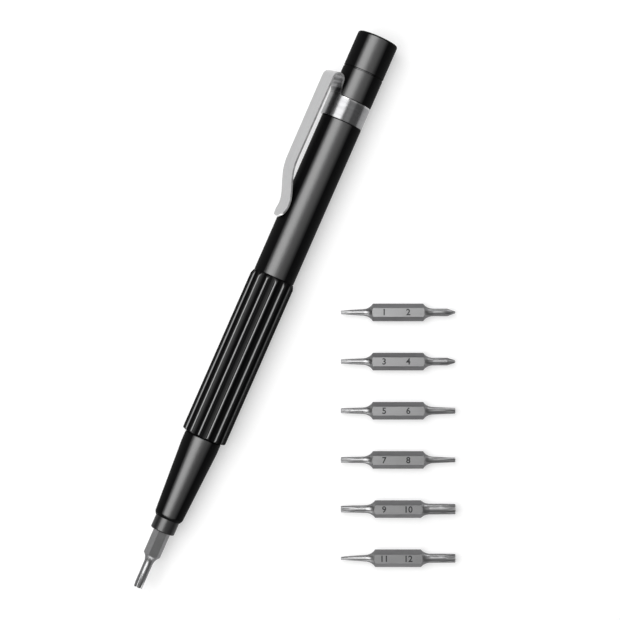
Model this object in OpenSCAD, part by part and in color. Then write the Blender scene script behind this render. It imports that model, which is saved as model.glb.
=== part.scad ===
// Pen-shaped pocket screwdriver with a spin cap, a pocket clip, a bit store and six spare bits.
// The origin is the tip of the fitted bit. +Y runs along the pen to its cap, and +Z is up.

/* [Driver bits] */
// Width across the flats of the hex stock
hex_af = 4; // [3.6:0.1:4.4]
// Length of every double-ended bit
bit_len = 30; // [28:0.5:34]
// Radius of the turned shoulder between the hex and the neck
shoulder_r = 3.2; // [2.4:0.1:4.5]

/* [Bit holder] */
// Depth of the fitted bit in the holder
seat_depth = 14.1; // [12.5:0.1:16]
// Diameter of the collar in front of the nose
collar_d = 6.5; // [6.3:0.1:7.2]
// Length of the collar
collar_len = 3.6; // [2:0.1:6]
// Diameter of the holder inside the nose
holder_d = 6.1; // [5.8:0.1:6.3]
// Depth of the hexagonal part of the socket
socket_hex_len = 8.6; // [6:0.1:11]
// Diameter of the bore behind the hexagon, for the rear tip
tip_room_d = 3.7; // [3.2:0.1:3.9]
// Diameter of the magnet
magnet_d = 4; // [3.9:0.1:4.6]
// Length of the magnet
magnet_len = 4; // [2:0.1:6]
// Length of the plug behind the magnet
plug_len = 2.7; // [1.5:0.1:4]

/* [Nose] */
// Length of the nose from the collar to the grip
nose_len = 23.3; // [20:0.1:30]
// Diameter of the nose at the grip
nose_back_d = 9.94; // [9:0.02:10.8]
// Diameter at the small end of the cone
nose_front_d = 7.7; // [7.4:0.1:8.6]
// Length of the straight land beside the grip
nose_land_len = 2.9; // [1:0.1:6]
// Length of the spigot that closes the barrel
nose_spigot_len = 6.7; // [4:0.1:12]

/* [Grip] */
// Diameter over the ribs
grip_d = 12; // [11.6:0.1:13]
// Length of the grip sleeve
grip_len = 45.3; // [30:0.1:60]
// Number of ribs
rib_count = 14; // [10:2:16]
// Depth of the flutes between the ribs
flute_depth = 0.55; // [0.3:0.05:0.6]
// Radius of the rib crests
rib_crest_r = 0.5; // [0.35:0.05:0.6]

/* [Barrel] */
// Diameter of the barrel, the tail and the cap
barrel_d = 11; // [10.8:0.1:11.4]
// Length of the barrel that shows
barrel_len = 44.1; // [36:0.1:60]
// Diameter of the tube inside the grip sleeve
core_d = 9.9; // [9.6:0.1:10.2]
// Diameter of the bit store
store_d = 8.5; // [8.3:0.1:8.8]

/* [Tail and spin cap] */
// Length of the tail sleeve above the clip band
tail_len = 7.9; // [7:0.1:12]
// Diameter of the tail's neck
neck_d = 9.9; // [9.7:0.1:10.1]
// Length of the neck inside the barrel
neck_in_len = 6.2; // [4:0.1:9]
// Pitch of the neck's thread
thread_pitch = 0.75; // [0.5:0.05:1]
// Thickness of the wall that carries the cap
end_wall_t = 2.2; // [1.6:0.1:3]
// Width of the seam under the cap
seam_w = 0.26; // [0.2:0.02:0.5]
// Length of the spin cap
cap_len = 9.74; // [7:0.02:14]
// Diameter of the swivel screw's shoulder
swivel_d = 2.1; // [1.6:0.1:2.6]

/* [Pocket clip] */
// Length of the clip band
band_len = 5.9; // [4:0.1:8]
// Thickness of the clip strip
strip_t = 0.5; // [0.35:0.05:0.5]
// Stretch of the band toward the clip
band_stretch = 0.55; // [0.55:0.05:0.9]
// Width of the clip at its crown
clip_w = 5.8; // [4:0.1:6.4]
// Width of the clip where it touches the barrel
clip_end_w = 5.2; // [3:0.1:6]
// Height of the crown over the band
crown_rise = 5.2; // [4:0.1:6.5]
// Clear gap between the clip and the barrel
clip_gap = 3.3; // [2.4:0.1:4.5]
// Distance from the band's top to where the clip starts to bend in
clip_straight_len = 21.6; // [15:0.1:24]
// Distance from the band's top to where the clip touches the barrel
clip_touch_len = 31.5; // [28:0.1:36]
// Distance from the band's top to the clip's end
clip_len = 35.2; // [34:0.1:42]
// Angle between straight up and the clip
clip_lean = 60; // [40:1:80]

/* [Spare bits beside the pen] */
// Distance from the pen's axis to the first spare bit
spare_x = 33.5; // [28:0.5:50]
// Distance along the pen to the first spare bit
spare_y = 92.8; // [80:0.1:110]
// Spacing of the spare bits
spare_pitch = 12.9; // [8:0.1:16]
// Angle of the spare bits to the line square to the pen
spare_turn = 23.7; // [0:0.1:40]

/* [Hidden] */
$fn = 64;

// Clearances and small breaks of edges
fit = 0.05;
face_gap = 0.03;
edge_break = 0.15;
overrun = 1;

// Driver tips: diameters over the lobes, points and wings
lobe2_d = 0.94;
lobe3_d = 1.13;
lobe4_d = 1.28;
lobe5_d = 1.42;
lobe6_d = 1.7;
lobe8_d = 2.31;
lobe10_d = 2.74;
star08_d = 0.8;
star12_d = 1.2;
star15_d = 1.5;
cross_d = 0.7;
wing_d = 0.5;
slim_neck_d = 1.7;
broad_neck_d = 2;
lobe10_neck_d = 2.84;
lobe8_neck_d = 2.4;
pin_hole_depth = 1.2;
point_len = 2.1;
flute_run = 4.2;
short_flute_run = 3.4;
long_end_len = 9;
fitted_end_len = 9.2;
short_end_len = 8.4;

// Shares of the tip's radius: floor of the flutes, radius of the flutes, radius of the pin hole
lobe_shares = [0.72, 0.3, 0];
pinned_lobe_shares = [0.72, 0.3, 0.3];
star_shares = [0.68, 0.36, 0];
cross_shares = [0.3, 0.95, 0];
wing_shares = [0.3, 1, 0];

// Each end: flutes, tip diameter, neck diameter, length, length of the point, run of the flutes, shares
lobe2_end = [6, lobe2_d, slim_neck_d, short_end_len, 0, flute_run, lobe_shares];
lobe3_end = [6, lobe3_d, slim_neck_d, short_end_len, 0, flute_run, lobe_shares];
lobe4_end = [6, lobe4_d, slim_neck_d, short_end_len, 0, flute_run, lobe_shares];
lobe5_end = [6, lobe5_d, slim_neck_d, short_end_len, 0, flute_run, lobe_shares];
lobe6_end = [6, lobe6_d, broad_neck_d, long_end_len, 0, flute_run, pinned_lobe_shares];
lobe8_end = [6, lobe8_d, lobe8_neck_d, long_end_len, 0, flute_run, pinned_lobe_shares];
lobe10_end = [6, lobe10_d, lobe10_neck_d, long_end_len, 0, flute_run, pinned_lobe_shares];
fitted_end = [6, lobe8_d, lobe8_neck_d, fitted_end_len, 0, flute_run, pinned_lobe_shares];
star08_end = [5, star08_d, slim_neck_d, long_end_len, 0, flute_run, star_shares];
star12_end = [5, star12_d, slim_neck_d, short_end_len, 0, flute_run, star_shares];
star15_end = [5, star15_d, broad_neck_d, short_end_len, 0, flute_run, star_shares];
cross_end = [4, cross_d, broad_neck_d, short_end_len, point_len, flute_run, cross_shares];
wing_end = [3, wing_d, broad_neck_d, short_end_len, point_len, short_flute_run, wing_shares];

// Small sizes of the holder, the nose and the grip
collar_round_r = 0.35;
collar_hex_roll = 12;
nose_cone_step = 0.07;
nose_chamfer_r = 0.4;
nose_chamfer_len = 0.8;
grip_chamfer_r = 0.5;
grip_chamfer_len = 1.2;
grip_round_r = 0.5;
// Shares of the grip's rounded end: the middle of its arc, and the rise of the chord beyond it
round_mid_share = 1 - sqrt(0.5);
round_slope_share = (1 - round_mid_share) / round_mid_share;
rib_flank_angle = 45;
rib_arc_steps = 4;
pad_t = 0.8;

// Small sizes of the tail, the cap and its swivel
cap_round_r = 0.6;
thread_depth = 0.3;
thread_clear_len = 0.6;
bush_wall = 0.75;
bush_flange_r = 2.9;
bush_flange_t = 0.5;
washer_rim = 1.1;
screw_head_r = 2.2;
screw_head_t = 1.3;
screw_slot_w = 0.5;
screw_slot_depth = 0.6;
screw_thread_d = 1.8;
screw_thread_len = 4.6;

// Small sizes of the clip
riser_root_len = 1;
riser_root_w = 6.4;
riser_sink = 0.02;
riser_flare = 0.23;
clip_curl = 0.9;
clip_end_share = 0.2;
riser_steps = 5;
crown_steps = 12;
arm_steps = 26;
strip_cols = 8;

// Derived radii
hex_corner_r = hex_af / sqrt(3);
barrel_r = barrel_d / 2;
core_r = core_d / 2;
store_r = store_d / 2;
neck_r = neck_d / 2;
mouth_r = neck_r + fit;
grip_r = grip_d / 2;
flute_r = grip_r - flute_depth;
nose_back_r = nose_back_d / 2;
nose_front_r = nose_front_d / 2;
holder_r = holder_d / 2;
collar_r = collar_d / 2;
magnet_r = magnet_d / 2;
swivel_r = swivel_d / 2;
screw_thread_r = screw_thread_d / 2;
bush_r = swivel_r + fit + bush_wall;

// Places along the pen, counted from the tip of the fitted bit
collar_y = bit_len - seat_depth;
nose_y = collar_y + collar_len;
grip_y = nose_y + nose_len;
barrel_y = grip_y + grip_len;
band_y = barrel_y + barrel_len;
tail_y = band_y + band_len;
tail_top_y = tail_y + tail_len;
cap_y = tail_top_y + seam_w;
cap_top_y = cap_y + cap_len;
magnet_y = bit_len + fit;
plug_y = magnet_y + magnet_len + fit;
holder_top_y = plug_y + plug_len + fit;
store_y = grip_y + nose_spigot_len;
neck_y = band_y - neck_in_len;
wall_y = tail_top_y - end_wall_t;
head_y = wall_y - bush_flange_t - face_gap - screw_head_t;

// The pen lies on two neighbouring ribs
rest_h = (grip_r - rib_crest_r) * cos(180 / rib_count) + rib_crest_r;

// Middle line of the clip strip: the riser, the crown and the arm
riser_x = barrel_r + band_stretch - strip_t / 2 - riser_sink;
crown_in_x = riser_x + riser_flare;
arm_x = barrel_r + clip_gap + strip_t / 2;
touch_x = barrel_r + fit + strip_t / 2;
crown_bend_r = (arm_x - crown_in_x) / 2;
crown_y = tail_y + crown_rise - crown_bend_r - strip_t / 2;
riser_len = crown_y - tail_y + riser_root_len;

function ease(u) = u * u * (3 - 2 * u);
function clamp01(u) = min(1, max(0, u));
function mix(a, b, u) = a + (b - a) * u;

// A station of the strip: distance from the axis, distance along the pen, width,
// share of the band's curve, and turn of the strip from straight up
function riser_station(u) = [
    riser_x + riser_flare * ease(u),
    tail_y - riser_root_len + riser_len * u,
    mix(riser_root_w, clip_w, ease(u)),
    1 - ease(clamp01(u * u)),
    0
];
function crown_station(turn) = [
    crown_in_x + crown_bend_r * (1 - cos(turn)),
    crown_y + crown_bend_r * sin(turn),
    clip_w,
    0,
    turn
];
function arm_path_x(drop) =
    drop < clip_touch_len
        ? mix(arm_x, touch_x, ease(clamp01((drop - clip_straight_len) / (clip_touch_len - clip_straight_len))))
        : touch_x + clip_curl * pow((drop - clip_touch_len) / (clip_len - clip_touch_len), 2);
function arm_round_share(drop) =
    let (u = clamp01((drop - clip_len + clip_end_w / 2) / (clip_end_w / 2)))
    max(clip_end_share, sqrt(1 - u * u));
function arm_turn(drop) =
    180 - atan((arm_path_x(drop + strip_t / 2) - arm_path_x(drop - strip_t / 2)) / strip_t);
function arm_station(drop) = [
    arm_path_x(drop),
    tail_y - drop,
    mix(clip_w, clip_end_w, clamp01(drop / clip_touch_len)) * arm_round_share(drop),
    0,
    arm_turn(drop)
];
// The arm's stations crowd toward its end, where it bends and rounds off
function arm_drop(u) = mix(tail_y - crown_y, clip_len, 1 - pow(1 - u, 1.6));

// The band's strip and the arm meet at the top of the crown, a face_gap apart
crown_half_turn = 90 - atan(face_gap / 2 / crown_bend_r);
crown_half_steps = crown_steps / 2;
riser_stations = [for (i = [0 : riser_steps - 1]) riser_station(i / riser_steps)];
crown_stations_in = [for (i = [0 : crown_half_steps])
    crown_station(crown_half_turn * i / crown_half_steps)];
crown_stations_out = [for (i = [crown_half_steps : -1 : 0])
    crown_station(180 - crown_half_turn * i / crown_half_steps)];
arm_stations = [for (i = [1 : arm_steps]) arm_station(arm_drop(i / arm_steps))];
clip_stations = concat(riser_stations, crown_stations_in, crown_stations_out, arm_stations);
arm_start = riser_steps + crown_half_steps + 1;

// A row of points across the strip, on the side toward the bend's outside (1) or inside (-1)
function strip_row(i, side) =
    let (
        s = clip_stations[i],
        x = s[0] - side * cos(s[4]) * strip_t / 2,
        z = s[1] + side * sin(s[4]) * strip_t / 2
    )
    [for (j = [0 : strip_cols])
        let (y = s[2] * (j / strip_cols - 0.5))
        [x - s[3] * (barrel_r - sqrt(barrel_r * barrel_r - y * y)), y, z]];

// Lay a piece of the pen down, from its axis along +Z and its clip toward +X
module on_pen() rotate([-90, 0, 0]) rotate([0, 0, 270 - clip_lean]) children();

module turned(outline) rotate_extrude() polygon(outline);

module disc(r, y, t) translate([0, 0, y]) cylinder(r = r, h = t);

module ring(outer_r, inner_r, y, t)
    difference() {
        disc(outer_r, y, t);
        disc(inner_r, y - overrun, t + 2 * overrun);
    }

// The flat strip swept through the clip's stations, from one to another
module strip(from, to) {
    cols = strip_cols + 1;
    ring_n = 2 * cols;
    last = to - from;
    points = [for (i = [from : to])
        each concat(strip_row(i, 1), [for (j = [strip_cols : -1 : 0]) strip_row(i, -1)[j]])];
    sides = [for (i = [0 : last - 1], j = [0 : ring_n - 1])
        let (a = i * ring_n + j, b = i * ring_n + (j + 1) % ring_n)
        each [[a, b, b + ring_n], [a, b + ring_n, a + ring_n]]];
    ends = [for (j = [0 : strip_cols - 1])
        let (a = j, b = j + 1, c = ring_n - 2 - j, d = ring_n - 1 - j, top = last * ring_n)
        each [[a, c, b], [a, d, c], [top + a, top + b, top + c], [top + a, top + c, top + d]]];
    polyhedron(points = points, faces = concat(sides, ends));
}

// Half of a bit's turned outline, outward from the end of the hex
module bit_end_outline(end) {
    tip_r = end[1] / 2;
    neck_r = end[2] / 2;
    end_len = end[3];
    drop = hex_corner_r - neck_r;
    shoulder_len = sqrt(2 * shoulder_r * drop - drop * drop);
    taper_y = end[4] > 0 ? end_len - end[4] : shoulder_len;
    polygon([[0, 0], [neck_r, 0], [neck_r, taper_y], [tip_r, end_len], [0, end_len]]);
    difference() {
        square([hex_corner_r, shoulder_len]);
        translate([neck_r + shoulder_r, shoulder_len]) circle(r = shoulder_r, $fn = 96);
    }
}

// The flutes and the pin hole of one end, with the tip at its own length
module bit_end_cuts(end) {
    tip_r = end[1] / 2;
    neck_r = end[2] / 2;
    run = end[5];
    floor_r = tip_r * end[6][0];
    cut_r = tip_r * end[6][1];
    hole_r = tip_r * end[6][2];
    lean = atan((neck_r - floor_r) / run);
    translate([0, 0, end[3]]) {
        for (i = [0 : end[0] - 1])
            rotate([0, 0, 360 * (i + 0.5) / end[0]])
                translate([floor_r, 0, 0])
                    rotate([0, -lean, 0])
                        translate([cut_r, 0, -run - overrun]) {
                            cylinder(r = cut_r, h = run + 2 * overrun, $fn = 32);
                            translate([0, -cut_r, 0])
                                cube([neck_r, 2 * cut_r, run + 2 * overrun]);
                        }
        if (hole_r > 0)
            translate([0, 0, -pin_hole_depth])
                cylinder(r = hole_r, h = pin_hole_depth + overrun, $fn = 32);
    }
}

// A double-ended bit with its front tip at 0 and its rear tip at bit_len
module hex_bit(front, rear) {
    hex_y = front[3];
    hex_end_y = bit_len - rear[3];
    difference() {
        intersection() {
            rotate([0, 0, 30])
                cylinder(r = hex_corner_r, h = bit_len, $fn = 6);
            rotate_extrude() {
                translate([0, hex_y]) square([hex_corner_r + overrun, hex_end_y - hex_y]);
                translate([0, hex_end_y]) bit_end_outline(rear);
                translate([0, hex_y]) mirror([0, 1]) bit_end_outline(front);
            }
        }
        translate([0, 0, hex_end_y]) bit_end_cuts(rear);
        translate([0, 0, hex_y]) mirror([0, 0, 1]) bit_end_cuts(front);
    }
}

// A spare bit lying on one of its flats beside the pen
module spare_bit(place, front, rear)
    color("slategray")
        translate([spare_x, spare_y, hex_af / 2 - rest_h])
            rotate([0, 0, spare_turn])
                translate([-bit_len / 2, -place * spare_pitch, 0])
                    rotate([0, 90, 0]) hex_bit(front, rear);

module barrel()
    color("#1b1b1d") on_pen() turned([
        [store_r, grip_y + face_gap],
        [core_r, grip_y + face_gap],
        [core_r, barrel_y],
        [barrel_r - edge_break, barrel_y],
        [barrel_r, barrel_y + edge_break],
        [barrel_r, band_y - edge_break],
        [barrel_r - edge_break, band_y],
        [mouth_r, band_y],
        [mouth_r, neck_y - fit],
        [store_r, neck_y - fit]
    ]);

// Outline of one rib with the flute beside it, pointing along +X
function rib_points() =
    let (
        crest_x = grip_r - rib_crest_r,
        root_y = (rib_crest_r + (crest_x - flute_r) * cos(rib_flank_angle)) / sin(rib_flank_angle),
        root_x = sqrt(flute_r * flute_r - root_y * root_y),
        pitch = 360 / rib_count
    )
    concat(
        [[root_x, -root_y]],
        [for (i = [-rib_arc_steps : rib_arc_steps])
            let (t = rib_flank_angle * i / rib_arc_steps)
            [crest_x + rib_crest_r * cos(t), rib_crest_r * sin(t)]],
        [[root_x, root_y]],
        [[flute_r * cos(pitch / 2), flute_r * sin(pitch / 2)]]
    );
function turn_point(p, a) = [p[0] * cos(a) - p[1] * sin(a), p[0] * sin(a) + p[1] * cos(a)];

module grip_sleeve()
    color("#202022") on_pen() translate([0, 0, grip_y])
        difference() {
            intersection() {
                linear_extrude(height = grip_len)
                    polygon([for (i = [0 : rib_count - 1], p = rib_points())
                        turn_point(p, 180 + clip_lean + 360 * (i + 0.5) / rib_count)]);
                turned([
                    [0, 0],
                    [grip_r - grip_round_r, 0],
                    [grip_r - grip_round_r * round_mid_share, grip_round_r * round_mid_share],
                    [grip_r + overrun, grip_round_r + overrun * round_slope_share],
                    [grip_r + overrun, grip_len - grip_chamfer_len * (1 + overrun / grip_chamfer_r)],
                    [grip_r - grip_chamfer_r, grip_len],
                    [0, grip_len]
                ]);
            }
            disc(core_r + fit, -overrun, grip_len + 2 * overrun);
        }

module nose_cone()
    color("#19191b") on_pen() turned([
        [holder_r + fit, nose_y],
        [nose_front_r - nose_chamfer_r, nose_y],
        [nose_front_r, nose_y + nose_chamfer_len],
        [nose_back_r - nose_cone_step, grip_y - nose_land_len],
        [nose_back_r, grip_y - nose_land_len + nose_cone_step],
        [nose_back_r, grip_y],
        [store_r - fit, grip_y],
        [store_r - fit, store_y],
        [0, store_y],
        [0, holder_top_y + fit],
        [holder_r + fit, holder_top_y + fit]
    ]);

module bit_holder()
    color("#2a2a2c") on_pen() difference() {
        rotate_extrude() {
            polygon([
                [0, collar_y], [collar_r - collar_round_r, collar_y],
                [collar_r - collar_round_r, collar_y + collar_round_r],
                [collar_r, collar_y + collar_round_r], [collar_r, nose_y],
                [holder_r, nose_y], [holder_r, holder_top_y], [0, holder_top_y]
            ]);
            translate([collar_r - collar_round_r, collar_y + collar_round_r]) circle(r = collar_round_r);
        }
        translate([0, 0, collar_y - overrun])
            rotate([0, 0, clip_lean + collar_hex_roll - 30])
                cylinder(r = hex_corner_r + fit * 2 / sqrt(3), h = socket_hex_len + overrun, $fn = 6);
        translate([0, 0, collar_y]) cylinder(d = tip_room_d, h = magnet_y - collar_y + overrun / 2);
        disc(magnet_r + fit, magnet_y - fit, holder_top_y - magnet_y + overrun);
    }

module socket_magnet()
    color("silver") on_pen() disc(magnet_r, magnet_y, magnet_len);

module magnet_plug()
    color("gray") on_pen() disc(magnet_r, plug_y, plug_len);

module store_pad()
    color("#3a3a3a") on_pen() disc(store_r - fit, store_y, pad_t);

// The band's outline at radius r, drawn out toward the clip
module band_outline(r) {
    circle(r = r);
    translate([0, -r]) square([band_stretch, 2 * r]);
    translate([band_stretch, 0]) circle(r = r);
}

module clip_band()
    color("lightgray") on_pen() {
        translate([0, 0, band_y + face_gap])
            linear_extrude(height = band_len - 2 * face_gap)
                difference() {
                    band_outline(barrel_r);
                    band_outline(barrel_r - strip_t);
                }
        strip(0, arm_start - 1);
    }

module clip_arm()
    color("lightgray") on_pen() strip(arm_start, len(clip_stations) - 1);

module tail_sleeve() {
    thread_n = floor((neck_in_len - 2 * thread_clear_len) / thread_pitch);
    color("#1b1b1d") on_pen() difference() {
        turned([
            [store_r, neck_y],
            [neck_r - edge_break, neck_y],
            [neck_r, neck_y + edge_break],
            [neck_r, tail_y],
            [barrel_r - edge_break, tail_y],
            [barrel_r, tail_y + edge_break],
            [barrel_r, tail_top_y - edge_break],
            [barrel_r - edge_break, tail_top_y],
            [bush_r + fit, tail_top_y],
            [bush_r + fit, wall_y],
            [store_r, wall_y]
        ]);
        for (i = [0 : thread_n - 1])
            translate([0, 0, neck_y + thread_clear_len + thread_pitch * (i + 0.5)])
                turned([
                    [neck_r - thread_depth, 0],
                    [neck_r + fit, -thread_pitch / 2],
                    [neck_r + fit, thread_pitch / 2]
                ]);
    }
}

module tail_pad()
    color("#3a3a3a") on_pen() disc(store_r - fit, head_y - fit - pad_t, pad_t);

module swivel_bush()
    color("goldenrod") on_pen() difference() {
        union() {
            disc(bush_r, wall_y, end_wall_t - face_gap);
            disc(bush_flange_r, wall_y - bush_flange_t, bush_flange_t);
        }
        disc(swivel_r + fit, wall_y - bush_flange_t - overrun, bush_flange_t + end_wall_t + 2 * overrun);
    }

module thrust_washer()
    color("white") on_pen() ring(barrel_r - washer_rim, bush_r + fit, tail_top_y, seam_w - face_gap);

module spin_cap()
    color("#1b1b1d") on_pen() rotate_extrude() {
        hole_y = cap_y + screw_thread_len + fit;
        polygon([
            [screw_thread_r + fit, cap_y], [barrel_r - edge_break, cap_y], [barrel_r, cap_y + edge_break],
            [barrel_r, cap_top_y - cap_round_r], [barrel_r - cap_round_r, cap_top_y - cap_round_r],
            [barrel_r - cap_round_r, cap_top_y], [0, cap_top_y], [0, hole_y], [screw_thread_r + fit, hole_y]
        ]);
        translate([barrel_r - cap_round_r, cap_top_y - cap_round_r]) circle(r = cap_round_r);
    }

module swivel_screw()
    color("silver") on_pen() difference() {
        union() {
            disc(screw_head_r, head_y, screw_head_t);
            disc(swivel_r, head_y, cap_y - head_y);
            disc(screw_thread_r, head_y, cap_y - head_y + screw_thread_len);
        }
        translate([-screw_head_r - overrun, -screw_slot_w / 2, head_y - overrun])
            cube([2 * screw_head_r + 2 * overrun, screw_slot_w, screw_slot_depth + overrun]);
    }

module driver_bit()
    color("slategray") on_pen()
        rotate([0, 0, clip_lean + collar_hex_roll - 60]) hex_bit(fitted_end, star15_end);

module spare_lobe2_wing() spare_bit(0, lobe2_end, wing_end);
module spare_lobe3_cross() spare_bit(1, lobe3_end, cross_end);
module spare_lobe4_star15() spare_bit(2, lobe4_end, star15_end);
module spare_lobe5_star12() spare_bit(3, lobe5_end, star12_end);
module spare_lobe6_lobe10() spare_bit(4, lobe6_end, lobe10_end);
module spare_star08_lobe8() spare_bit(5, star08_end, lobe8_end);

barrel();
grip_sleeve();
nose_cone();
bit_holder();
socket_magnet();
magnet_plug();
store_pad();
clip_band();
clip_arm();
tail_sleeve();
tail_pad();
swivel_bush();
thrust_washer();
spin_cap();
swivel_screw();
driver_bit();
spare_lobe2_wing();
spare_lobe3_cross();
spare_lobe4_star15();
spare_lobe5_star12();
spare_lobe6_lobe10();
spare_star08_lobe8();
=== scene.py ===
"""Looks of a pen-shaped pocket screwdriver and the six loose driver bits beside it.

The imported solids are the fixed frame, in metres. The pen's axis is +Y, its tip is the origin
and +Z is up. Pieces of the pen are modelled in millimetres with the axis along Z and the clip
toward X, then laid down.
"""

import logging
import math
from collections.abc import Iterator
from dataclasses import dataclass, field
from enum import Enum

import bmesh
import bpy
from bmesh.types import BMEdge, BMesh, BMVert
from bpy.types import ID, Material, Mesh, Node, NodeSocket, NodeTree, Object, bpy_prop_collection
from mathutils import Matrix, Vector


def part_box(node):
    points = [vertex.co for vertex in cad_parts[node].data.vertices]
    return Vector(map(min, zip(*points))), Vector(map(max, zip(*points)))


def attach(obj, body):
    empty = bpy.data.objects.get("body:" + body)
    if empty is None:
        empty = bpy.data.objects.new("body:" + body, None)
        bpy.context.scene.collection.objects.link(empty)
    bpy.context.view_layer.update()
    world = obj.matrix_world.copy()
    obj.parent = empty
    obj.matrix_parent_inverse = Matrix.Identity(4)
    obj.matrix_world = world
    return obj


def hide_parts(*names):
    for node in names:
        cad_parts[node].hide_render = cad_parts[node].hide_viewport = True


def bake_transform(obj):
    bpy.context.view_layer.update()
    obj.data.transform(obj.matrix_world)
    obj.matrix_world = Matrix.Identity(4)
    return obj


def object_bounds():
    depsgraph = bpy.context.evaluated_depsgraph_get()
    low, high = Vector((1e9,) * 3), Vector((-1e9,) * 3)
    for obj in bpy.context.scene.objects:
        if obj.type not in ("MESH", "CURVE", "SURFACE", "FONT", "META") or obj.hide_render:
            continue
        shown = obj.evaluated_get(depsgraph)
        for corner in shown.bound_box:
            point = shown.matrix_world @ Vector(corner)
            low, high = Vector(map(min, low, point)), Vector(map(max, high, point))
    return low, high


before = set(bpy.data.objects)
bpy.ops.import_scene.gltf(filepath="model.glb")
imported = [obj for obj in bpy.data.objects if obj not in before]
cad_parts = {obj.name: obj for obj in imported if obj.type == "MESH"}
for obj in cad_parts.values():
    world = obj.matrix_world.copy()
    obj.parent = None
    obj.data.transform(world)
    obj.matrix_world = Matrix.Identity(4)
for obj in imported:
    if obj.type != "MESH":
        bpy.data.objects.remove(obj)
CAD_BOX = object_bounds()

LOG = logging.getLogger("pocket_screwdriver")
MM = 0.001
TO_MM = (1 / MM,) * 3
NOT_ALONG = (1.0, 0.0, 1.0)
MERGE_DIST = 0.0005
SHARP_ANGLE = math.radians(38)
NOISE_SPAN = (0.35, 0.65)
GRAIN_SPAN = (0.3, 0.7)
# Turn of the loose bits and of the camera from the frame's X, in degrees
LEVEL_TURN = 23.7

Colour = tuple[float, float, float]
Point = tuple[float, float, float]
Pair = tuple[float, float]
Pieces = list[Object]
Socket = NodeSocket


class Body(Enum):
    """The bodies that the pen's pieces ride on."""

    HANDLE = "handle"
    CLIP = "clip"
    CLIP_SPRING = "clip_spring"
    TAIL = "tail"
    CAP = "cap"


class Slot(Enum):
    """The record's material slots."""

    BLACK = "black_anodised"
    GRIP = "grip_black"
    HOLDER = "holder_black"
    CLIP = "clip_steel"
    BIT = "bit_steel"
    MAGNET = "magnet_nickel"
    PLUG = "plug_steel"
    PAD = "pad_rubber"
    BUSH = "bush_brass"
    WASHER = "washer_white"


class Grain(Enum):
    """Which way the fine lines of a finish run."""

    ROUND_PEN = "round_pen"
    ALONG_PEN = "along_pen"
    ALONG_BIT = "along_bit"
    NONE = "none"


@dataclass(frozen=True)
class PenSizes:
    """Driving sizes of the pen in millimetres, with stations along the axis from the bit's tip."""

    clip_lean: float = 60.0
    fit: float = 0.05
    edge_break: float = 0.15
    nose_y: float = 19.5
    grip_y: float = 42.8
    barrel_y: float = 88.1
    band_y: float = 132.2
    tail_y: float = 138.1
    tail_top_y: float = 146.0
    cap_y: float = 146.26
    cap_top_y: float = 156.0
    holder_top_y: float = 36.85
    store_y: float = 49.5
    neck_y: float = 126.0
    wall_y: float = 143.8
    barrel_r: float = 5.5
    core_r: float = 4.95
    store_r: float = 4.25
    neck_r: float = 4.95
    holder_r: float = 3.05
    bush_r: float = 1.85

    def place(self) -> Matrix:
        """Lays a piece of the pen down.

        Returns:
            The matrix from the piece's own millimetres to the frame's metres.
        """
        lean = math.radians(self.clip_lean)
        toward_clip = Vector((-math.sin(lean), 0.0, math.cos(lean)))
        across_clip = Vector((math.cos(lean), 0.0, math.sin(lean)))
        along = Vector((0.0, 1.0, 0.0))
        turn = Matrix((toward_clip, across_clip, along)).transposed().to_4x4()
        return turn @ Matrix.Scale(MM, 4)


PEN = PenSizes()


# Small helpers of the meshes


def ease(share: float) -> float:
    """A smooth step from 0 to 1."""
    return share * share * (3.0 - 2.0 * share)


def clamp01(share: float) -> float:
    """The share kept between 0 and 1."""
    return min(1.0, max(0.0, share))


def mix(start: float, end: float, share: float) -> float:
    """The value at a share of the way from start to end."""
    return start + (end - start) * share


def closed_loop(made: BMesh, points: list[Point]) -> list[BMVert | BMEdge]:
    """Draws a closed outline through its corners, and gives its vertices and edges."""
    ring = [made.verts.new(point) for point in points]
    return ring + [made.edges.new((ring[i - 1], ring[i])) for i in range(len(ring))]


def extrude_rim(made: BMesh, rim: list[BMEdge]) -> tuple[list[BMEdge], list[BMVert]]:
    """Extrudes a rim in place.

    Args:
        made: The mesh that holds the rim.
        rim: The rim's edges.

    Returns:
        The edges and the vertices of the new rim.
    """
    grown = bmesh.ops.extrude_edge_only(made, edges=rim)["geom"]
    edges = [item for item in grown if isinstance(item, BMEdge)]
    return edges, [item for item in grown if isinstance(item, BMVert)]


def face_out(made: BMesh) -> None:
    """Turns all faces outwards."""
    bmesh.ops.recalc_face_normals(made, faces=made.faces[:])


def close_up(made: BMesh) -> None:
    """Merges doubled vertices and turns all faces outwards."""
    bmesh.ops.remove_doubles(made, verts=made.verts[:], dist=MERGE_DIST)
    face_out(made)


def round_edges(made: BMesh, edges: list[BMEdge], radius: float, segments: int) -> None:
    """Rounds edges.

    Args:
        made: The mesh that holds the edges.
        edges: The edges.
        radius: Width of the rounding, in the mesh's units.
        segments: Number of faces across it.
    """
    bmesh.ops.bevel(
        made, geom=edges, offset=radius, offset_type="OFFSET", segments=segments,
        profile=0.5, affect="EDGES", clamp_overlap=True, material=-1,
    )


def mesh_data(made: BMesh, name: str) -> Mesh:
    """Writes a bmesh to new mesh data.

    Args:
        made: The finished bmesh, which is freed.
        name: Name of the data.

    Returns:
        The mesh data.
    """
    data = bpy.data.meshes.new(name)
    made.to_mesh(data)
    made.free()
    return data


def link_object(name: str, data: ID) -> Object:
    """Makes an object at the origin.

    Args:
        name: Name of the object.
        data: Its mesh, curve, lamp or camera.

    Returns:
        The object, linked to the scene.
    """
    made = bpy.data.objects.new(name, data)
    bpy.context.collection.objects.link(made)
    return made


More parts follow.
